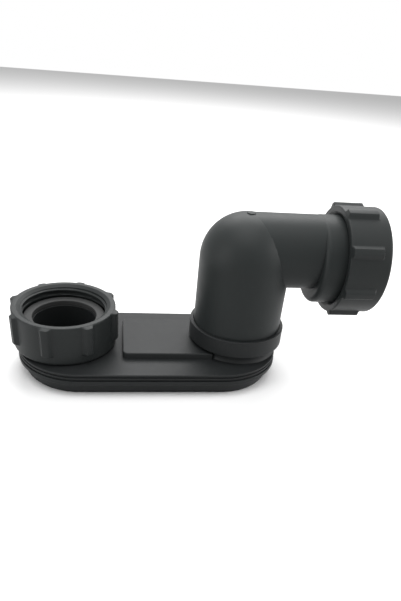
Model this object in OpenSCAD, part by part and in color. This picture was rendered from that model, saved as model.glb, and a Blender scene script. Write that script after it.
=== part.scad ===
// Low bath trap: a flat two-shell tray with a union nut for the bath waste at one end
// and a swivelling elbow with a compression nut at the other. Millimetres, +Z up.
// The inlet axis is at x = 0, y = 0, the underside of the tray at z = 0.

/* [Tray] */
// length of the tray over its stepped rim
tray_l = 150.5; // [130:0.5:190]
// width of the tray over its stepped rim
tray_w = 72; // [66:1:90]
// from the inlet axis to the inlet end of the tray
inlet_inset = 26.5; // [22:0.5:34]
// distance between the inlet and the outlet axis
centres = 99.5; // [92:0.5:130]
// wall of both half-shells
wall = 2.2; // [1.6:0.1:3]
// height of the weld line between the half-shells
weld_z = 10.3; // [8:0.1:16]
// height of the thin band above the weld groove
band_h = 1; // [0.6:0.1:2]
// height of each of the two rim grooves
groove_h = 1.1; // [0.6:0.1:1.6]
// depth of the two rim grooves
groove_d = 0.8; // [0.4:0.1:1.2]
// height of the lower lip
lip_h = 2.3; // [1:0.1:3]
// how far the lower lip stands out past the rim
lip_out = 0.3; // [0:0.1:1]
// how far the dish wall is set in under the lip
dish_top_inset = 1.5; // [1:0.1:2]
// how far the dish wall is set in at its foot
dish_foot_inset = 3.4; // [2.5:0.1:5]
// thickness of the deck at its edge
deck_t = 1.8; // [1.4:0.1:3]
// rise of the deck from its edge to the middle
deck_crown = 0.7; // [0:0.1:1]
// width of the sloped border that the deck rises over
deck_slope = 6; // [2:0.5:10]

/* [Raised pad] */
// height of the pad above the deck edge
pad_h = 4.1; // [2:0.1:6]
// width of the pad across its top
pad_w = 40; // [30:0.5:44]
// gap in plan between the inlet nut's ribs and the pad
pad_gap = 1.7; // [1:0.1:6]
// slope of the pad's sides, sideways from foot to top
pad_draft = 0.7; // [0:0.1:1.5]
// corner radius of the pad in plan
pad_corner = 3; // [1:0.1:6]

/* [Inlet neck and washer] */
// wall of the inlet neck
neck_wall = 2.8; // [1.8:0.1:4]
// how far the seal flange stands out past the neck
flange_out = 2.5; // [2.1:0.1:3.1]
// radial clearance of the seal flange inside the nut's thread
flange_gap = 1.25; // [0.75:0.05:2]
// thickness of the seal flange
flange_t = 2; // [1.6:0.1:3]
// height of the flange's seal face above the tray's underside
flange_z = 27.8; // [25:0.5:30]
// thickness of the flat washer
washer_t = 3; // [2:0.1:3.4]

/* [Ribbed nuts] */
// thread radius at the root of both nuts, for the 1 1/2 inch waste thread
thread_r = 23.95; // [23.9:0.01:24.2]
// length of the plain wall that carries the thread
thread_l = 5.5; // [4:0.1:5.6]
// wall of both nuts outside the thread
nut_wall = 4.85; // [3.65:0.05:6]
// length of both nuts along their axis
nut_l = 22.8; // [22:0.1:26]
// thickness of the closed end
nut_end_t = 3; // [2:0.1:4]
// how much wider the mouth is than the thread, in radius
mouth_open = 1.95; // [1:0.05:2.4]
// depth of the bevel inside the mouth
mouth_bevel = 1.3; // [0.8:0.1:2]
// how far the grip ribs stand out
rib_h = 2.2; // [1:0.1:3.5]
// width of a grip rib at its foot
rib_w = 7.2; // [4:0.1:9]
// number of grip ribs
rib_n = 8; // [6:1:12]
// plain band left between the ribs and the closed end
rib_stop = 5; // [3:0.1:8]
// relief behind the thread, past its root
relief = 0.5; // [0.3:0.1:0.8]
// radial clearance of the inlet nut round the neck
neck_gap = 0.8; // [0.4:0.1:1.2]
// gap under the inlet nut as it lies on the deck
nut_rest_gap = 0.3; // [0.2:0.05:0.6]
// angle of the first rib on the inlet nut
inlet_rib_a = 30; // [0:1:45]
// angle of the first rib on the outlet nut
outlet_rib_a = 29; // [0:1:45]

/* [Outlet socket] */
// radius of the elbow's riser
riser_r = 25.2; // [24:0.1:26]
// wall of the riser and its dome
riser_wall = 2.6; // [2:0.1:3.2]
// wall of the collar round the riser
collar_wall = 2.15; // [1.8:0.05:3]
// height of the collar's lower edge
collar_z = 19.8; // [18.8:0.1:22]
// height of the collar
collar_h = 9.9; // [8.5:0.1:14]
// running clearance between the spigot and its socket
swivel_gap = 0.06; // [0.02:0.01:0.1]
// clearance under the foot of the spigot
foot_gap = 0.3; // [0.2:0.05:0.5]
// depth of the socket's floor below the collar edge to its top
socket_floor_up = 0.8; // [0.4:0.1:1.5]
// how far the collar hangs out over its stem
collar_over = 3.41; // [2.4:0.01:4.9]
// how far the snap skirt is set in from the spigot
skirt_in = 7.3; // [6.7:0.1:9]
// wall of the snap skirt
skirt_wall = 2.2; // [1.8:0.1:3]
// how far the snap bead hooks under the socket floor
bead_out = 0.9; // [0.5:0.1:1.4]
// height of the snap bead
bead_h = 2.4; // [1.6:0.1:3]
// width of the slots that let the skirt spring
slot_w = 2.4; // [1.5:0.1:4]
// cord radius of the seal ring on the spigot
seal_cord_r = 1.05; // [0.8:0.05:1.3]
// clearance round the seal ring in its groove
seal_gap = 0.3; // [0.2:0.05:0.4]

/* [Elbow] */
// height of the arm's axis
arm_z = 72.8; // [72.7:0.1:90]
// outer radius of the arm
arm_r = 20; // [19:0.1:21]
// wall of the arm
arm_wall = 2.2; // [1.8:0.1:3]
// from the riser axis to the shoulder of the threaded end
shoulder_x = 37.3; // [34:0.1:50]
// radial clearance between the threaded end and the nut's thread
thread_gap = 0.05; // [0.05:0.05:0.9]
// rounding of the shoulder's edge
shoulder_round = 2.8; // [1:0.1:3]
// bore radius of the threaded end, for a 40 mm pipe
pipe_r = 20.25; // [20.1:0.05:20.6]
// how deep the pipe goes into the threaded end
pipe_depth = 21; // [16:0.5:21.5]
// radius of the small sprue mark on top of the bend
sprue_r = 2.4; // [1:0.1:3]

/* [Outlet nut and seal] */
// from the shoulder to the outlet nut's mouth
nut_back = 11.1; // [8:0.1:14]
// thickness of the tapered seal
seal_t = 3.6; // [3:0.1:5]
// thickness of the slip ring
slip_t = 1.2; // [1:0.1:2]
// clearance of seal and slip ring round the pipe
pipe_gap = 0.25; // [0.1:0.05:0.4]
// axial gap between neighbouring outlet pieces
stack_gap = 0.3; // [0.2:0.05:0.5]
// radial clearance of the nut's end hole round the pipe
end_hole_gap = 0.9; // [0.5:0.1:1.5]

/* [Hidden] */
eps = 0.01;
fine = 72;
rim_r = tray_w / 2;
x_in = rim_r - inlet_inset;
x_out = tray_l - inlet_inset - rim_r;
lip_top = weld_z - groove_h / 2;
lip_bot = lip_top - lip_h;
band_bot = weld_z + groove_h / 2;
band_top = band_bot + band_h;
deck_bot = band_top + groove_h;
deck_z = deck_bot + 1;
deck_under = deck_z - deck_t;
weld_r = rim_r - groove_d - wall;
pad_top = deck_z + pad_h;
nut_z = deck_z + deck_crown + nut_rest_gap;
nut_r = thread_r + nut_wall;
mouth_r = thread_r + mouth_open;
flange_r = thread_r - flange_gap;
neck_r = flange_r - flange_out;
neck_bore_r = neck_r - neck_wall;
pad_x0 = nut_r + rib_h + pad_gap;
collar_r = riser_r + swivel_gap + collar_wall;
stem_r = collar_r - collar_over;
skirt_r = riser_r - skirt_in;
collar_top = collar_z + collar_h;
floor_z = collar_z + socket_floor_up;
foot_z = floor_z + foot_gap;
skirt_bore_r = skirt_r - skirt_wall;
ledge_z = pad_top - wall;
socket_r = thread_r - thread_gap;
dome_z = arm_z + arm_r - riser_r;
socket_z = arm_z + arm_r - socket_r;
shoulder = centres + shoulder_x;
socket_l = nut_back + nut_l - nut_end_t - 3 * stack_gap - seal_t - slip_t;
socket_end = shoulder + socket_l;
outlet_nut_x = shoulder + nut_back;
groove_floor_r = riser_r - 2 * seal_cord_r - seal_gap;
seal_z = foot_z + (collar_top - foot_z) / 2;

function arc(cx, cy, r, a0, a1, n) =
    [for (i = [0 : n]) [cx + r * cos(a0 + (a1 - a0) * i / n), cy + r * sin(a0 + (a1 - a0) * i / n)]];

// a half profile swept round a plan with straight sides and round ends
module round_ended(x0, x1, pts) {
    translate([x0, 0, 0]) rotate([0, 0, 90]) rotate_extrude(angle = 180, $fn = fine) polygon(pts);
    translate([x1, 0, 0]) rotate([0, 0, -90]) rotate_extrude(angle = 180, $fn = fine) polygon(pts);
    translate([x0, 0, 0]) rotate([90, 0, 90]) linear_extrude(x1 - x0) {
        polygon(pts);
        mirror([1, 0]) polygon(pts);
    }
}

module ring(r_out, r_in, h) {
    rotate_extrude($fn = fine) translate([r_in, 0]) square([r_out - r_in, h]);
}

// Lower half-shell: a shallow dish with a stepped foot and a lip under the weld
module tray_base() color("dimgray") {
    foot_r = rim_r - dish_foot_inset;
    neck = rim_r - dish_top_inset;
    in_foot = foot_r - wall;
    difference() {
        round_ended(x_in, x_out, concat(
            [[0, 0]], arc(foot_r - 1.2, 1.2, 1.2, -90, 0, 3),
            [[foot_r + 0.1, 1.5], [foot_r + 0.5, 1.7], [neck, lip_bot - 0.5],
             [rim_r + lip_out - 0.4, lip_bot], [rim_r + lip_out, lip_bot + 0.4],
             [rim_r + lip_out, lip_top - 0.3], [rim_r + lip_out - 0.3, lip_top],
             [rim_r - groove_d, lip_top], [rim_r - groove_d, weld_z], [0, weld_z]]));
        round_ended(x_in, x_out, concat(
            [[0, wall]], arc(in_foot - 1.5, wall + 1.5, 1.5, -90, 0, 3),
            [[weld_r, weld_z - 2], [weld_r, weld_z + 1], [0, weld_z + 1]]));
    }
}

// plan and section of the raised pad, set in by d for the hollow under it
module pad(d, top) {
    x1 = centres - skirt_r;
    half = pad_w / 2 - d;
    intersection() {
        translate([pad_x0 + d, 0, 0]) rotate([90, 0, 90]) linear_extrude(x1 - pad_x0 - d)
            polygon([[-half - pad_draft, deck_under - eps], [half + pad_draft, deck_under - eps],
                     [half, top - 0.7], [half - 0.7, top], [-half + 0.7, top], [-half, top - 0.7]]);
        linear_extrude(top + 1) union() {
            c = max(pad_corner - d, 0.5);
            w = pad_w / 2 + pad_draft - d;
            for (s = [-1, 1]) translate([pad_x0 + d + c, s * (w - c)]) circle(r = c, $fn = 32);
            translate([pad_x0 + d + c, -w]) square([x1 - pad_x0, 2 * w]);
            translate([pad_x0 + d, -w + c]) square([x1 - pad_x0, 2 * (w - c)]);
        }
    }
}

// Upper half-shell: banded rim, deck, raised pad, inlet neck with its seal flange,
// and the outlet socket with the collar that the elbow turns in
module tray_cover() color("darkslategray") {
    bore_r = riser_r + swivel_gap;
    difference() {
        union() {
            round_ended(x_in, x_out, [[weld_r, weld_z], [rim_r - groove_d, weld_z],
                [rim_r - groove_d, band_bot], [rim_r, band_bot], [rim_r, band_top],
                [rim_r - groove_d, band_top], [rim_r - groove_d, deck_bot], [rim_r, deck_bot],
                [rim_r, deck_z - 0.5], [rim_r - 0.3, deck_z - 0.15], [rim_r - 0.9, deck_z],
                [weld_r - deck_slope, deck_z + deck_crown], [weld_r - deck_slope, deck_under], [weld_r, deck_under]]);
            round_ended(x_in, x_out, [[0, deck_under], [weld_r - deck_slope + eps, deck_under],
                [weld_r - deck_slope + eps, deck_z + deck_crown], [0, deck_z + deck_crown]]);
            pad(0, pad_top);
            rotate_extrude($fn = fine) polygon([[neck_r - wall, deck_under], [neck_r + 1, deck_under],
                [neck_r + 1, deck_z + deck_crown], [neck_r, deck_z + deck_crown + 0.8],
                [neck_r, flange_z - flange_t - 0.8], [neck_r + 0.8, flange_z - flange_t],
                [flange_r, flange_z - flange_t], [flange_r, flange_z], [neck_r - wall, flange_z]]);
            translate([centres, 0, 0]) rotate_extrude($fn = fine) polygon([
                [skirt_r - 1, deck_under], [stem_r + 0.8, deck_under], [stem_r + 0.8, deck_z],
                [stem_r, deck_z + 1.6], [stem_r, collar_z - 0.9], [collar_r - 0.5, collar_z],
                [collar_r, collar_z + 0.5], [collar_r, collar_top - 0.5], [collar_r - 0.5, collar_top],
                [skirt_r - 1, collar_top]]);
        }
        translate([0, 0, deck_under - 1]) cylinder(r = neck_bore_r, h = 40, $fn = fine);
        pad(wall, pad_top - wall);
        translate([0, 0, -eps]) pad_hollow_gate();
        translate([centres, 0, 0]) rotate_extrude($fn = fine) polygon([[0, 0], [stem_r - wall, 0],
            [stem_r - wall, ledge_z], [skirt_r + swivel_gap, ledge_z], [skirt_r + swivel_gap, floor_z],
            [bore_r, floor_z], [bore_r, collar_top - 0.4], [bore_r + 0.4, collar_top + eps],
            [bore_r + 0.4, collar_top + 1], [0, collar_top + 1]]);
    }
}

// opening of the pad's hollow into the tray
module pad_hollow_gate() {
    translate([pad_x0 + wall, -pad_w / 2 + wall, 0])
        cube([centres - skirt_r - pad_x0 - wall, pad_w - 2 * wall, deck_under + 2 * eps]);
}

// Flat washer on the neck's seal face
module inlet_washer() color("black")
    translate([0, 0, flange_z]) ring(flange_r, neck_bore_r + 0.4, washer_t);

// One nut with its axis on Z: closed end down, mouth up, eight grip ribs from the mouth
module ribbed_nut(hole_r, a0) {
    thread_top = nut_l - mouth_bevel;
    difference() {
        union() {
            rotate_extrude($fn = fine) polygon(concat([[hole_r, 0]],
                arc(nut_r - 1.4, 1.4, 1.4, -90, 0, 3),
                arc(nut_r - 0.8, nut_l - 0.8, 0.8, 0, 90, 3), [[hole_r, nut_l]]));
            for (i = [0 : rib_n - 1]) rotate([0, 0, a0 + i * 360 / rib_n]) grip_rib();
        }
        rotate_extrude($fn = fine) polygon([[0, nut_end_t], [thread_r + relief, nut_end_t],
            [thread_r + relief, thread_top - thread_l], [thread_r, thread_top - thread_l],
            [thread_r, thread_top], [mouth_r, nut_l + eps], [mouth_r, nut_l + 1], [0, nut_l + 1]]);
    }
}

module grip_rib() {
    top = nut_l - 0.3;
    difference() {
        translate([0, 0, rib_stop]) linear_extrude(top - rib_stop)
            polygon([[nut_r - 1.2, -rib_w / 2], [nut_r + 0.4, -rib_w / 2 + 0.3],
                     [nut_r + rib_h - 0.8, -rib_w / 2 + 1], [nut_r + rib_h, -rib_w / 2 + 1.9],
                     [nut_r + rib_h, rib_w / 2 - 1.9], [nut_r + rib_h - 0.8, rib_w / 2 - 1],
                     [nut_r + 0.4, rib_w / 2 - 0.3], [nut_r - 1.2, rib_w / 2]]);
        translate([nut_r + rib_h - 0.6, -rib_w, top]) rotate([0, 45, 0]) cube([2, 2 * rib_w, 2]);
        translate([nut_r + rib_h, -rib_w, rib_stop - 1.6]) rotate([0, 45, 0]) cube([2, 2 * rib_w, 2]);
    }
}

module inlet_nut() color("gray")
    translate([0, 0, nut_z]) ribbed_nut(neck_r + neck_gap, inlet_rib_a);

// Elbow in one piece: snap skirt, spigot, riser, domed bend, arm and offset threaded end
module outlet_elbow() color("slategray") {
    in_r = riser_r - riser_wall;
    difference() {
        union() {
            translate([centres, 0, 0]) rotate_extrude($fn = fine) polygon([
                [skirt_bore_r, ledge_z - foot_gap - bead_h],
                [skirt_r - 0.7, ledge_z - foot_gap - bead_h],
                [skirt_r + bead_out, ledge_z - foot_gap - 0.7],
                [skirt_r + bead_out, ledge_z - foot_gap], [skirt_r, ledge_z - foot_gap],
                [skirt_r, foot_z], [riser_r - 0.4, foot_z], [riser_r, foot_z + 0.4],
                [riser_r, seal_z - seal_cord_r - seal_gap],
                [groove_floor_r, seal_z - seal_cord_r - seal_gap],
                [groove_floor_r, seal_z + seal_cord_r + seal_gap],
                [riser_r, seal_z + seal_cord_r + seal_gap],
                [riser_r, dome_z], [skirt_bore_r, dome_z]]);
            translate([centres, 0, dome_z]) sphere(r = riser_r, $fn = fine);
            translate([centres, 0, arm_z]) rotate([0, 90, 0])
                cylinder(r = arm_r, h = shoulder_x + 1, $fn = fine);
            translate([shoulder, 0, socket_z]) rotate([0, 90, 0]) rotate_extrude($fn = fine)
                polygon(concat([[0, 0]],
                    arc(socket_r - shoulder_round, shoulder_round, shoulder_round, -90, 0, 4),
                    [[socket_r, socket_l - 0.8], [socket_r - 0.8, socket_l], [0, socket_l]]));
            translate([centres, 0, dome_z + riser_r - 0.5]) cylinder(r = sprue_r, h = 0.9, $fn = 24);
        }
        translate([centres, 0, 0]) rotate_extrude($fn = fine) polygon([
            [0, 0], [skirt_bore_r, 0], [skirt_bore_r, foot_z + 1.5],
            [groove_floor_r - riser_wall, seal_z - 1], [groove_floor_r - riser_wall, seal_z + 2],
            [in_r, collar_top + 2], [in_r, dome_z], [0, dome_z]]);
        translate([centres, 0, dome_z]) sphere(r = in_r, $fn = fine);
        translate([centres, 0, arm_z]) rotate([0, 90, 0])
            cylinder(r = arm_r - arm_wall, h = shoulder_x + socket_l - pipe_depth + 1, $fn = fine);
        translate([socket_end - pipe_depth, 0, socket_z]) rotate([0, 90, 0])
            cylinder(r = pipe_r, h = pipe_depth + 1, $fn = fine);
        for (a = [0, 90]) translate([centres, 0, 0]) rotate([0, 0, 45 + a])
            translate([-skirt_r - 2 * bead_out, -slot_w / 2, 0])
                cube([2 * skirt_r + 4 * bead_out, slot_w, floor_z - 1.5]);
    }
}

// Seal ring in the spigot's groove
module elbow_seal_ring() color("black")
    translate([centres, 0, seal_z]) rotate_extrude($fn = fine)
        translate([groove_floor_r + seal_cord_r + seal_gap / 2, 0]) circle(r = seal_cord_r, $fn = 16);

// Tapered seal against the end of the threaded end, round the pipe
module outlet_seal() color("black")
    translate([socket_end + stack_gap, 0, socket_z]) rotate([0, 90, 0]) rotate_extrude($fn = fine)
        polygon([[pipe_r + pipe_gap, 0], [socket_r - 0.9, 0], [socket_r - 0.2, 0.8],
                 [socket_r - 0.2, seal_t], [pipe_r + pipe_gap, seal_t]]);

// Slip ring between the seal and the turning nut
module outlet_slip_ring() color("silver")
    translate([socket_end + 2 * stack_gap + seal_t, 0, socket_z]) rotate([0, 90, 0])
        ring(socket_r - 0.2, pipe_r + pipe_gap, slip_t);

// The outlet nut, mouth towards the elbow
module outlet_nut() color("gray")
    translate([outlet_nut_x + nut_l, 0, socket_z]) rotate([0, -90, 0])
        ribbed_nut(pipe_r + end_hole_gap, outlet_rib_a);

tray_base();
tray_cover();
inlet_washer();
inlet_nut();
outlet_elbow();
elbow_seal_ring();
outlet_seal();
outlet_slip_ring();
outlet_nut();
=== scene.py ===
# %% [markdown]
# # A low bath trap
# A bath trap this shallow fits under a bath that stands close to the floor. Water falls
# through a union nut at one end, crosses a flat tray and climbs a swivel elbow at the
# other, and what stays in the tray keeps the drain's air out. Every piece is the same
# charcoal plastic, so the picture lives from soft edges, deep dark joints and faint gloss.
#
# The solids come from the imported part. Here the visible pieces are made again with the
# soft edges, thread ridges and grip ribs of a real moulding, each in its solid's place.

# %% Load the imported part
import math

import bmesh
import bpy
from mathutils import Matrix, Vector


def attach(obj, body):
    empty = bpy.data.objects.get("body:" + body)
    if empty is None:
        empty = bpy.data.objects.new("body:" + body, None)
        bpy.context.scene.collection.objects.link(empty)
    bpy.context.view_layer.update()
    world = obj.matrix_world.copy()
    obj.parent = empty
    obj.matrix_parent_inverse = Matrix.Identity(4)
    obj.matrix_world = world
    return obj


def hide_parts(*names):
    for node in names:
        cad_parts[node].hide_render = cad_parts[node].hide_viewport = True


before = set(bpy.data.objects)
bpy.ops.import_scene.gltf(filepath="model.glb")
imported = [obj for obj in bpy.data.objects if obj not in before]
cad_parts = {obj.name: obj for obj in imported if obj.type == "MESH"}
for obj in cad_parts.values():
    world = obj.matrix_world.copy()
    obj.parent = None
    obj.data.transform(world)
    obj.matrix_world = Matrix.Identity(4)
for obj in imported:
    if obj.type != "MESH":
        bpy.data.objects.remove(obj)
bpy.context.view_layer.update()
MM = 0.001

# %% [markdown]
# The sizes below are the ones that the solids were drawn with, in millimetres. The inlet
# axis stands at the origin, the tray lies along X, and the outlet's axis runs along X.

# %% Sizes shared by the pieces
TRAY_X0, TRAY_X1 = 9.5, 88.0
RIM_R = 36.0
WELD_Z = 10.3
DECK_Z = 13.95
DECK_UNDER = 12.15
DECK_TOP = 14.65
PAD_TOP = 18.05
PAD_X0 = 32.7
OUTLET_X = 99.5
RISER_R = 25.2
COLLAR_TOP = 29.7
DOME_Z = 67.6
ARM_Z, ARM_R = 72.8, 20.0
SHOULDER_X = 136.8
SOCKET_Z, SOCKET_R, SOCKET_L = 68.9, 23.9, 25.2
PIPE_R, PIPE_DEPTH = 20.25, 21.0
NUT_R, NUT_L, NUT_END = 28.8, 22.8, 3.0
THREAD_R, THREAD_TOP, THREAD_L = 23.95, 21.5, 5.5
PITCH = 3.2
INLET_NUT_Z = 14.95
OUTLET_NUT_X = 147.9
OUTLET_SEAT_X = OUTLET_NUT_X + NUT_L
print("the outlet nut ends at", OUTLET_SEAT_X, "mm")

# %% [markdown]
# A moulding has no sharp corner: steel tools are cut with small radii so that the plastic
# flows and the part comes out. A profile is drawn here as a few corners, each with its own
# radius, and bmesh's vertex bevel rounds them. Spinning the rounded profile gives nuts,
# necks and seals, and it keeps the roundings even all the way round.

# %% Profiles with rounded corners
def wire(bm, corners, closed=True, segments=4):
    """Lays corners (out, up, radius) as a wire in the XZ plane and rounds them."""
    verts = [bm.verts.new((out, 0, up)) for out, up, _ in corners]
    pairs = list(zip(verts, verts[1:]))
    if closed:
        pairs.append((verts[-1], verts[0]))
    for a, b in pairs:
        bm.edges.new((a, b))
    radii = sorted({radius for _, _, radius in corners if radius})
    todo = {radius: [v for v, c in zip(verts, corners) if c[2] == radius] for radius in radii}
    for radius in radii:
        bmesh.ops.bevel(bm, geom=todo[radius], offset=radius, segments=segments,
                        profile=0.5, affect="VERTICES", material=-1)


def closed_skin(bm, gap=1e-4):
    """Merges what a spin laid twice and turns the faces outwards."""
    bmesh.ops.remove_doubles(bm, verts=bm.verts, dist=gap)
    bmesh.ops.dissolve_degenerate(bm, edges=bm.edges, dist=gap)
    bmesh.ops.recalc_face_normals(bm, faces=bm.faces)
    return bm


def spun(corners, steps=160, closed=True, segments=4):
    """Turns a profile once round Z, in millimetres."""
    bm = bmesh.new()
    wire(bm, corners, closed, segments)
    bmesh.ops.spin(bm, geom=bm.verts[:] + bm.edges[:], cent=(0, 0, 0), axis=(0, 0, 1),
                   angle=math.tau, steps=steps, use_merge=True)
    return closed_skin(bm)


def along_x(bm, x, z):
    """Lays a spun piece down so that its Z runs along the outlet axis from x."""
    bmesh.ops.rotate(bm, verts=bm.verts, cent=(0, 0, 0), matrix=Matrix.Rotation(math.pi / 2, 3, "Y"))
    bmesh.ops.translate(bm, verts=bm.verts, vec=(x, 0, z))
    return bm


def moved(bm, vec):
    bmesh.ops.translate(bm, verts=bm.verts, vec=vec)
    return bm


# %% [markdown]
# The tray is not round but round-ended: two half turns joined by straight sides. The
# profile is spun half a turn at one end, pulled along the side, spun at the other end and
# pulled back, so that one profile gives the whole rim with its grooves.

# %% Sweep round the tray's plan
def round_ended(corners, closed, steps=64, segments=4):
    bm = bmesh.new()
    wire(bm, corners, closed, segments)
    bmesh.ops.rotate(bm, verts=bm.verts, cent=(0, 0, 0), matrix=Matrix.Rotation(math.pi / 2, 3, "Z"))
    moved(bm, (TRAY_X0, 0, 0))
    run = TRAY_X1 - TRAY_X0
    edges = bm.edges[:]
    for centre, pull in ((TRAY_X0, run), (TRAY_X1, -run)):
        verts = list({v for e in edges for v in e.verts})
        spin = bmesh.ops.spin(bm, geom=verts + edges, cent=(centre, 0, 0), axis=(0, 0, 1),
                              angle=math.pi, steps=steps)
        last = [g for g in spin["geom_last"] if isinstance(g, bmesh.types.BMEdge)]
        side = bmesh.ops.extrude_edge_only(bm, edges=last)["geom"]
        bmesh.ops.translate(bm, vec=(pull, 0, 0),
                            verts=[g for g in side if isinstance(g, bmesh.types.BMVert)])
        edges = [g for g in side if isinstance(g, bmesh.types.BMEdge)]
    return closed_skin(bm, gap=4e-3)


# %% [markdown]
# Welding or cutting one form with another is a Boolean. The modifier works on objects, so
# a helper makes short-lived objects of the cutters, applies the result to a new mesh and
# clears the helpers away. Edges that turn by more than a set angle stay crisp, and face-weighted
# normals keep the broad flats flat beside their small roundings.

# %% Booleans and finished objects
def as_object(bm, name, scale=1.0):
    mesh = bpy.data.meshes.new(name)
    if scale != 1.0:
        bmesh.ops.scale(bm, verts=bm.verts, vec=(scale,) * 3)
    bm.to_mesh(mesh)
    bm.free()
    piece = bpy.data.objects.new(name, mesh)
    bpy.context.scene.collection.objects.link(piece)
    return piece


def combined(base, *steps):
    """Joins or cuts bmeshes in turn: steps are pairs such as ("UNION", bm)."""
    body = as_object(base, "work")
    cutters = []
    for operation, bm in steps:
        cutter = as_object(bm, "cutter")
        cutters.append(cutter)
        step = body.modifiers.new("step", "BOOLEAN")
        step.operation = operation
        step.solver = "MANIFOLD"
        step.object = cutter
    bpy.context.view_layer.update()
    result = bmesh.new()
    result.from_object(body, bpy.context.evaluated_depsgraph_get())
    for spare in [body] + cutters:
        mesh = spare.data
        bpy.data.objects.remove(spare)
        bpy.data.meshes.remove(mesh)
    bmesh.ops.remove_doubles(result, verts=result.verts, dist=1e-4)
    return result


def finished(bm, name, body, node, material, crisp=32):
    """A piece in metres, smooth but for its crisp edges, that stands for a CAD node."""
    for face in bm.faces:
        face.smooth = True
    for edge in bm.edges:
        edge.smooth = len(edge.link_faces) == 2 and edge.calc_face_angle(0) < math.radians(crisp)
    piece = as_object(bm, name, MM)
    piece.data.materials.append(material)
    weigh = piece.modifiers.new("weighted normals", "WEIGHTED_NORMAL")
    weigh.keep_sharp = True
    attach(piece, body)
    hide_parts(node)
    print(f"{name}: {len(piece.data.polygons)} faces for {node}")
    return piece


# %% [markdown]
# Shader maths reads best as arithmetic. This small class wraps a node's socket, so that
# `0.4 + 0.1 * noise` adds the Math nodes by itself.

# %% A socket that can be reckoned with
class Sock:
    def __init__(self, tree, out=None):
        self.tree, self.out = tree, out

    def node(self, kind, settings=None, stops=None, output=0, **values):
        """Adds a node: its settings first, then ramp stops, then the sockets' values or links."""
        made = self.tree.nodes.new(kind)
        for key, value in (settings or {}).items():
            setattr(made, key, value)
        for i, (place, colour) in enumerate(stops or []):
            ramp = made.color_ramp.elements
            stop = ramp[i] if i < len(ramp) else ramp.new(place)
            stop.position, stop.color = place, colour
        for key, value in values.items():
            socket = made.inputs[int(key[1:])] if key[0] == "i" and key[1:].isdigit() else made.inputs[key.replace("_", " ")]
            if isinstance(value, Sock):
                self.tree.links.new(value.out, socket)
            else:
                socket.default_value = value
        return Sock(self.tree, made.outputs[output] if made.outputs else None)

    def maths(self, operation, a, b, clamp=False):
        return self.node("ShaderNodeMath", {"operation": operation, "use_clamp": clamp}, i0=a, i1=b)

    def __add__(self, other):
        return self.maths("ADD", self, other)

    def __mul__(self, other):
        return self.maths("MULTIPLY", self, other)

    def __sub__(self, other):
        return self.maths("SUBTRACT", self, other)

    def __rsub__(self, other):
        return self.maths("SUBTRACT", other, self)

    __radd__ = __add__
    __rmul__ = __mul__


# %% [markdown]
# Waste fittings are moulded in polypropylene with carbon black. The tool's faces are
# spark-eroded, which leaves a very fine grain, so the plastic is neither glossy nor quite
# matt: it picks up a pale, soft sheen at flat angles. The colour drifts a little where the
# melt cooled faster, and handling burnishes it in faint patches.

# %% Charcoal plastic
def charcoal(name, colour, rough, drift=0.12, grain=0.35, gloss=0.2):
    mat = bpy.data.materials.new(name)
    mat.use_nodes = True
    tree = mat.node_tree
    tree.nodes.clear()
    start = Sock(tree)
    place = start.node("ShaderNodeTexCoord", output=3)
    cloud = start.node("ShaderNodeTexNoise", Vector=place, Scale=38.0, Detail=3.0, Roughness=0.55)
    patch = start.node("ShaderNodeTexNoise", Vector=place, Scale=210.0, Detail=4.0, Roughness=0.6)
    spark = start.node("ShaderNodeTexNoise", Vector=place, Scale=2600.0, Detail=2.0, Roughness=0.7)
    dark = tuple(c * (1 - drift) for c in colour) + (1,)
    pale = tuple(c * (1 + drift) for c in colour) + (1,)
    tone = start.node("ShaderNodeMix", {"data_type": "RGBA"}, output=2,
                      i0=cloud * 0.7 + patch * 0.3, i6=dark, i7=pale)
    sheen = rough - 0.05 + 0.1 * patch
    bump = start.node("ShaderNodeBump", Strength=grain, Distance=0.00004, Height=spark + 0.5 * patch)
    skin = start.node("ShaderNodeBsdfPrincipled", Base_Color=tone, Roughness=sheen, Normal=bump)
    skin.out.node.inputs["Specular IOR Level"].default_value = gloss
    start.node("ShaderNodeOutputMaterial", Surface=skin)
    return mat


tray_plastic = charcoal("charcoal tray plastic", (0.014, 0.0155, 0.016), 0.5)
elbow_plastic = charcoal("charcoal elbow plastic", (0.017, 0.020, 0.020), 0.5)
nut_plastic = charcoal("charcoal nut plastic", (0.016, 0.0185, 0.0185), 0.46)
print("plastics:", tray_plastic.name, elbow_plastic.name, nut_plastic.name)

# %% [markdown]
# The washer and the seals are soft rubber: duller than the plastic, a touch greyer, with a
# powdery bloom. The slip ring is plain uncoloured polyethylene.

# %% Rubber and ring plastic
rubber = charcoal("seal rubber", (0.040, 0.041, 0.041), 0.66, drift=0.2, grain=0.5, gloss=0.3)
ring_plastic = charcoal("natural ring plastic", (0.52, 0.52, 0.49), 0.4, drift=0.04)
for node in ("elbow_seal_ring", "outlet_seal"):
    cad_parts[node].data.materials.clear()
    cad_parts[node].data.materials.append(rubber)
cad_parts["outlet_slip_ring"].data.materials.clear()
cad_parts["outlet_slip_ring"].data.materials.append(ring_plastic)
print("seals in", rubber.name)

# %% [markdown]
# ## The tray's dish
# The lower half is a shallow dish with a thin floor. A lip stands out under the weld, where
# the welding tool grips it, and the wall leans in towards a small step above the foot.

# %% Dish
def dish():
    outer = [(0, 0, 0), (32.6, 0, 1.0), (32.78, 1.55, 0.12), (33.15, 1.8, 0.2), (34.5, 6.95, 0.5),
             (36.3, 7.5, 0.4), (36.3, 9.75, 0.3), (35.2, 9.75, 0.12), (35.2, WELD_Z, 0)]
    inner = [(33.0, WELD_Z, 0), (33.0, 8.3, 0.6), (30.6, 2.2, 1.4), (0, 2.2, 0)]
    return round_ended(outer + inner, closed=False)


tray_dish = finished(dish(), "tray_dish", "tray", "tray_base", tray_plastic)

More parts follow.
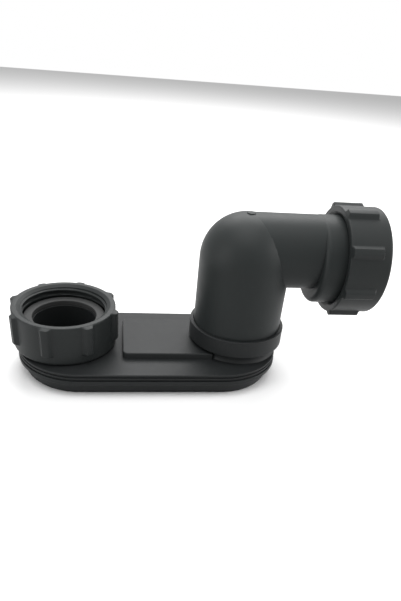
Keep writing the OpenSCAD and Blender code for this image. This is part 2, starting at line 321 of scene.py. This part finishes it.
# %% [markdown]
# ## The tray's deck
# The upper half carries everything: the banded rim, a deck that rises a little to the
# middle, the raised pad that gives the water more depth, the neck inside the inlet nut and
# the socket that the elbow turns in. Each form is made alone and then welded by Booleans.

# %% Deck, pad, neck and socket
def deck_plate():
    return round_ended([(0, DECK_UNDER, 0), (33.0, DECK_UNDER, 0.6), (33.0, WELD_Z, 0), (35.2, WELD_Z, 0),
                        (35.2, 10.85, 0.12), (36.0, 10.85, 0.25), (36.0, 11.85, 0.25), (35.2, 11.85, 0.12),
                        (35.2, 12.95, 0.12), (36.0, 12.95, 0.2), (36.0, DECK_Z - 0.1, 0.4),
                        (35.2, DECK_Z + 0.02, 0), (27.0, DECK_TOP, 3.5), (0, DECK_TOP, 0)], closed=False)


def pad():
    """A box drafted towards its top, its upright and then its top edges rounded."""
    x0, x1, foot, top = PAD_X0, OUTLET_X - 16, 20.7, 20.0
    bm = bmesh.new()
    bmesh.ops.create_cube(bm, size=1)
    bmesh.ops.scale(bm, verts=bm.verts, vec=(x1 - x0, 2 * foot, PAD_TOP - DECK_UNDER - 0.3))
    moved(bm, ((x0 + x1) / 2, 0, (PAD_TOP + DECK_UNDER + 0.3) / 2))
    for v in bm.verts:
        if v.co.z > PAD_TOP - 0.1:
            v.co.y = math.copysign(top, v.co.y)
    upright = [e for e in bm.edges if all(v.co.x < x0 + 0.1 for v in e.verts)
               and abs(e.verts[0].co.z - e.verts[1].co.z) > 1]
    bmesh.ops.bevel(bm, geom=upright, offset=3, segments=10, profile=0.5, affect="EDGES", material=-1)
    rim = [e for e in bm.edges if all(v.co.z > PAD_TOP - 0.1 for v in e.verts)]
    bmesh.ops.bevel(bm, geom=rim, offset=0.7, segments=5, profile=0.5, affect="EDGES", material=-1)
    bmesh.ops.recalc_face_normals(bm, faces=bm.faces)
    return bm


def pad_hollow():
    bm = bmesh.new()
    bmesh.ops.create_cube(bm, size=1)
    x0, x1, top = PAD_X0 + 2.2, OUTLET_X - 17.9, PAD_TOP - 2.2
    bmesh.ops.scale(bm, verts=bm.verts, vec=(x1 - x0, 35.6, top - 11))
    return moved(bm, ((x0 + x1) / 2, 0, (top + 11) / 2))


def neck():
    return spun([(17.4, DECK_UNDER + 0.2, 0), (21.2, DECK_UNDER + 0.2, 0), (21.2, DECK_TOP, 0.5), (20.2, 15.45, 0.6),
                 (20.2, 25.0, 0.4), (21.0, 25.8, 0.3), (22.7, 25.8, 0.3), (22.7, 27.8, 0.3),
                 (17.4, 27.8, 0.3)])


def socket():
    outside = [(18.9, DECK_UNDER + 0.2, 0), (24.9, DECK_UNDER + 0.2, 0), (24.9, DECK_TOP - 0.4, 0),
               (24.0, 15.9, 0.9), (24.0, 19.0, 0.7), (27.41, 19.8, 0.45), (27.41, COLLAR_TOP, 0.45)]
    return moved(spun(outside + [(18.9, COLLAR_TOP, 0)]), (OUTLET_X, 0, 0))


def socket_inside():
    return moved(spun([(0, 5, 0), (21.8, 5, 0), (21.8, 15.85, 0.4), (17.96, 15.85, 0.3),
                       (17.96, 20.6, 0.3), (25.26, 20.6, 0.3), (25.26, COLLAR_TOP - 0.35, 0.2),
                       (25.7, COLLAR_TOP + 0.1, 0), (25.7, 34, 0), (0, 34, 0)], closed=False),
                 (OUTLET_X, 0, 0))


def neck_bore():
    return spun([(0, 5, 0), (17.4, 5, 0), (17.4, 34, 0), (0, 34, 0)], closed=False)


deck = combined(deck_plate(), ("UNION", pad()), ("UNION", neck()), ("UNION", socket()),
                ("DIFFERENCE", neck_bore()), ("DIFFERENCE", pad_hollow()),
                ("DIFFERENCE", socket_inside()))
tray_deck = finished(deck, "tray_deck", "tray", "tray_cover", tray_plastic)

# %% [markdown]
# ## The elbow
# One moulding: a slotted snap skirt and a spigot below, a round riser with a domed bend, an
# arm that leaves flush with the dome's top, and a larger threaded end set off downwards so
# that the arm's top stays level. Spun forms are joined, and the waterway is then cut out.

# %% Thread shared by the outlet nut and the threaded end
def ridge_distance(angle, height):
    """How far, in millimetres, a point lies from the middle of the nut's thread ridge."""
    turn = (height - PITCH * angle / math.tau) / PITCH
    return abs(turn - round(turn)) * PITCH


def ramp(value, low, high):
    t = min(max((value - low) / (high - low), 0.0), 1.0)
    return t * t * (3 - 2 * t)


def nut_ridge(angle, height):
    ends = ramp(height, 16.0, 16.9) * ramp(-height, -THREAD_TOP, -THREAD_TOP + 0.9)
    return 1.15 * ends * (1 - ramp(ridge_distance(angle, height), 0.3, 0.95))


# %% Riser, dome, arm and threaded end
def riser():
    dome = [(RISER_R * math.cos(t), DOME_Z + RISER_R * math.sin(t), 0)
            for t in (math.radians(a) for a in range(3, 90, 3))]
    return moved(spun([(0, 13.15, 0), (17.0, 13.15, 0.3), (18.8, 14.9, 0.3), (18.8, 15.55, 0.2), (17.9, 15.55, 0.2),
                       (17.9, 20.9, 0.2), (RISER_R, 20.9, 0.4), (RISER_R, 23.95, 0.1), (22.8, 23.95, 0.2),
                       (22.8, 26.65, 0.2), (RISER_R, 26.65, 0.1), (RISER_R, DOME_Z, 0)]
                      + dome + [(0, DOME_Z + RISER_R, 0)], closed=False), (OUTLET_X, 0, 0))


def arm():
    return along_x(spun([(0, 0, 0), (ARM_R, 0, 0), (ARM_R, 38.5, 0), (0, 38.5, 0)], closed=False),
                   OUTLET_X, ARM_Z)


def threaded_end():
    rows = [(SOCKET_R, 12.6 + 0.32 * i, 0) for i in range(37)]
    bm = spun([(0, 0, 0), (SOCKET_R, 0, 2.6)] + rows + [(SOCKET_R, SOCKET_L, 0.6), (0, SOCKET_L, 0)],
              steps=224, closed=False, segments=8)
    along_x(bm, SHOULDER_X, SOCKET_Z)
    start, end = SHOULDER_X + 12.2, SHOULDER_X + SOCKET_L - 0.9
    for v in bm.verts:
        y, z = v.co.y, v.co.z - SOCKET_Z
        r = math.hypot(y, z)
        if r < SOCKET_R - 0.7 or v.co.x < start:
            continue
        away = ridge_distance(math.atan2(y, z), OUTLET_SEAT_X - v.co.x)
        depth = 1.3 * (1 - ramp(away, 0.6, 1.25)) * ramp(v.co.x, start, start + 1.6) * ramp(-v.co.x, -end, -end + 0.6)
        v.co.y, v.co.z = y * (r - depth) / r, SOCKET_Z + z * (r - depth) / r
    return bm


def sprue_mark():
    bm = spun([(0, 0, 0), (2.4, 0, 0), (2.4, 0.9, 0.25), (0, 0.9, 0)], steps=48, closed=False)
    return moved(bm, (OUTLET_X, 0, DOME_Z + RISER_R - 0.5))


# %% Waterway and slots
def waterway():
    in_r = RISER_R - 2.6
    dome = [(in_r * math.cos(t), DOME_Z + in_r * math.sin(t), 0)
            for t in (math.radians(a) for a in range(5, 90, 5))]
    return moved(spun([(0, 5, 0), (15.7, 5, 0), (15.7, 22.4, 0.5), (20.2, 24.3, 0.5), (20.2, 27.3, 0.8),
                       (in_r, 31.7, 0.8), (in_r, DOME_Z, 0)] + dome + [(0, DOME_Z + in_r, 0)],
                      closed=False), (OUTLET_X, 0, 0))


def arm_bore():
    return along_x(spun([(0, 0, 0), (ARM_R - 2.2, 0, 0), (ARM_R - 2.2, 42.5, 0), (0, 42.5, 0)],
                        closed=False), OUTLET_X, ARM_Z)


def pipe_bore():
    start = SHOULDER_X + SOCKET_L - PIPE_DEPTH
    return along_x(spun([(0, 0, 0), (PIPE_R, 0, 0), (PIPE_R, PIPE_DEPTH - 0.35, 0.2), (PIPE_R + 0.5, PIPE_DEPTH + 0.2, 0),
                         (PIPE_R + 0.5, 24, 0), (0, 24, 0)], closed=False), start, SOCKET_Z)


def slot(turn):
    bm = bmesh.new()
    bmesh.ops.create_cube(bm, size=1)
    bmesh.ops.scale(bm, verts=bm.verts, vec=(44, 2.4, 10))
    bmesh.ops.rotate(bm, verts=bm.verts, cent=(0, 0, 0), matrix=Matrix.Rotation(turn, 3, "Z"))
    return moved(bm, (OUTLET_X, 0, 14.1))


elbow = combined(riser(), ("UNION", arm()), ("UNION", threaded_end()), ("UNION", sprue_mark()),
                 ("DIFFERENCE", waterway()), ("DIFFERENCE", arm_bore()), ("DIFFERENCE", pipe_bore()),
                 ("DIFFERENCE", slot(math.pi / 4)), ("DIFFERENCE", slot(-math.pi / 4)))
swivel_elbow = finished(elbow, "swivel_elbow", "elbow", "outlet_elbow", elbow_plastic)

# %% [markdown]
# ## The two ribbed nuts
# Both nuts are one moulding used twice. A closed end with a hole pulls the joint together,
# thread ridges wind round the wall inside the mouth, and eight grip ribs run from the mouth
# to a plain band near the closed end. The wall is spun with many steps, and its vertices are then
# moved out along the ribs and in along the ridges, so ribs and wall flow into each other.

# %% Nut
RIB_H, RIB_STOP = 2.2, 5.0


def rib_height(angle, height, first_rib):
    """How far a rib lifts the outer wall at an angle and a height."""
    sector = math.tau / 8
    off = (angle - first_rib) / sector
    across = abs(off - round(off)) * sector * NUT_R
    foot = ramp(height, RIB_STOP, RIB_STOP + 1.1)
    head = 1 - ramp(height, NUT_L - 0.75, NUT_L - 0.1)
    return RIB_H * foot * head * (1 - ramp(across, 1.3, 3.7))


def ribbed_nut(hole_r, first_rib):
    inside = [(THREAD_R, THREAD_TOP - 0.2 * i, 0) for i in range(28)]
    wall = [(NUT_R, z, 0) for z in (2.6, 4.4, 4.8, 5.0, 5.2, 5.4, 5.6, 5.8, 6.0, 6.2, 6.6, 8, 11, 14, 17, 20, 21.4, 21.8)]
    corners = ([(hole_r, 0, 0.3), (NUT_R, 0, 1.4)] + wall + [(NUT_R, NUT_L, 0.75), (25.9, NUT_L, 0.3)] + inside
               + [(THREAD_R + 0.5, 15.9, 0), (THREAD_R + 0.5, NUT_END, 0.6), (hole_r, NUT_END, 0.3)])
    bm = spun(corners, steps=360, segments=5)
    for v in bm.verts:
        x, y, z = v.co
        r, angle = math.hypot(x, y), math.atan2(y, x)
        if r > NUT_R - 0.9 and z > 4:
            grown = r + rib_height(angle, z, first_rib)
        elif abs(r - THREAD_R) < 0.02:
            grown = r - nut_ridge(angle, z)
        else:
            continue
        v.co.x, v.co.y = x * grown / r, y * grown / r
    return bm


inlet = moved(ribbed_nut(21.0, math.radians(30)), (0, 0, INLET_NUT_Z))
inlet_nut = finished(inlet, "ribbed_inlet_nut", "inlet_nut", "inlet_nut", nut_plastic)

outlet = ribbed_nut(21.15, math.radians(29))
bmesh.ops.rotate(outlet, verts=outlet.verts, cent=(0, 0, 0), matrix=Matrix.Rotation(-math.pi / 2, 3, "Y"))
moved(outlet, (OUTLET_SEAT_X, 0, SOCKET_Z))
outlet_nut = finished(outlet, "ribbed_outlet_nut", "outlet_nut", "outlet_nut", nut_plastic)

# %% [markdown]
# The flat washer lies on the neck inside the inlet nut and shows as a grey ring.

# %% Washer
flat_washer = finished(spun([(17.8, 27.8, 0.35), (22.7, 27.8, 0.35), (22.7, 30.8, 0.45), (17.8, 30.8, 0.45)]),
                       "flat_washer", "tray", "inlet_washer", rubber)

# %% [markdown]
# ## Floor, light and camera
# The photograph is a cut-out on white. The floor and the world are white to the camera and
# in reflections, and give back less to the plastic, so that undersides stay dark.

# %% Floor and world
def stage_floor():
    bm = bmesh.new()
    bmesh.ops.create_grid(bm, x_segments=1, y_segments=1, size=1.5)
    bmesh.ops.translate(bm, verts=bm.verts, vec=(0.08, 0, -0.0002))
    floor = as_object(bm, "floor")
    mat = bpy.data.materials.new("floor white")
    mat.use_nodes = True
    tree = mat.node_tree
    tree.nodes.clear()
    start = Sock(tree)
    seen = start.node("ShaderNodeLightPath")
    show = seen + Sock(tree, seen.out.node.outputs["Is Glossy Ray"]) + Sock(tree, seen.out.node.outputs["Is Transmission Ray"])
    white = start.node("ShaderNodeBsdfDiffuse", Color=(0.93, 0.93, 0.93, 1))
    grey = start.node("ShaderNodeBsdfDiffuse", Color=(0.25, 0.25, 0.25, 1))
    start.node("ShaderNodeOutputMaterial", Surface=start.node("ShaderNodeMixShader", i0=show, i1=grey, i2=white))
    floor.data.materials.append(mat)


def studio_world(ambient):
    world = bpy.data.worlds.new("studio")
    bpy.context.scene.world = world
    world.use_nodes = True
    tree = world.node_tree
    tree.nodes.clear()
    start = Sock(tree)
    seen = start.node("ShaderNodeLightPath")
    show = seen + Sock(tree, seen.out.node.outputs["Is Glossy Ray"]) + Sock(tree, seen.out.node.outputs["Is Transmission Ray"])
    white = start.node("ShaderNodeBackground", Color=(1, 1, 1, 1), Strength=1.0)
    soft = start.node("ShaderNodeBackground", Color=(1, 1, 1, 1), Strength=ambient)
    start.node("ShaderNodeOutputWorld", Surface=start.node("ShaderNodeMixShader", i0=show, i1=soft, i2=white))


stage_floor()
studio_world(0.45)


# %% Lamps
def softbox(name, place, target, size, watts):
    lamp = bpy.data.lights.new(name, "AREA")
    lamp.shape = "RECTANGLE"
    lamp.size, lamp.size_y = size
    lamp.energy = watts
    piece = bpy.data.objects.new(name, lamp)
    piece.location = place
    piece.rotation_euler = (Vector(target) - Vector(place)).to_track_quat("-Z", "Y").to_euler()
    bpy.context.scene.collection.objects.link(piece)


middle = (0.075, 0, 0.04)
softbox("back softbox", (0.15, 0.7, 0.75), middle, (0.9, 0.6), 9)
softbox("top softbox", (0.0, -0.1, 1.0), middle, (0.8, 0.8), 6)
softbox("right softbox", (0.95, -0.15, 0.35), middle, (0.5, 0.7), 5)
softbox("left softbox", (-0.8, -0.35, 0.35), middle, (0.5, 0.6), 3)

# %% [markdown]
# The camera stands close, so near edges grow: its place, turn, roll and lens were solved
# from the photograph's own edges, on the sizes of the solids.

# %% Camera
def photo_camera(azimuth, height, roll, focal_px, away, target, off_px):
    a, e, r = (math.radians(v) for v in (azimuth, height, roll))
    ahead = Vector((-math.sin(a) * math.cos(e), math.cos(a) * math.cos(e), -math.sin(e)))
    level = Vector((math.cos(a), math.sin(a), 0))
    upright = level.cross(ahead)
    right = level * math.cos(r) + upright * math.sin(r)
    up = upright * math.cos(r) - level * math.sin(r)
    camera = bpy.data.cameras.new("camera")
    camera.sensor_width = 36
    camera.lens = focal_px * camera.sensor_width / 601
    camera.shift_x, camera.shift_y = -off_px[0] / 601, off_px[1] / 601
    camera.clip_start = 0.01
    piece = bpy.data.objects.new("camera", camera)
    turn = Matrix((right, up, -ahead)).transposed().to_4x4()
    piece.matrix_world = Matrix.Translation((Vector(target) - ahead * away) * MM) @ turn
    bpy.context.scene.collection.objects.link(piece)
    bpy.context.scene.camera = piece
    print("camera at", [round(v, 3) for v in piece.location])


photo_camera(-8.94, 34.87, 5.25, 537.27, 339.87, (74.38, 0, -15.07), (-11.89, 80.73))
bpy.context.scene.view_settings.view_transform = "Standard"
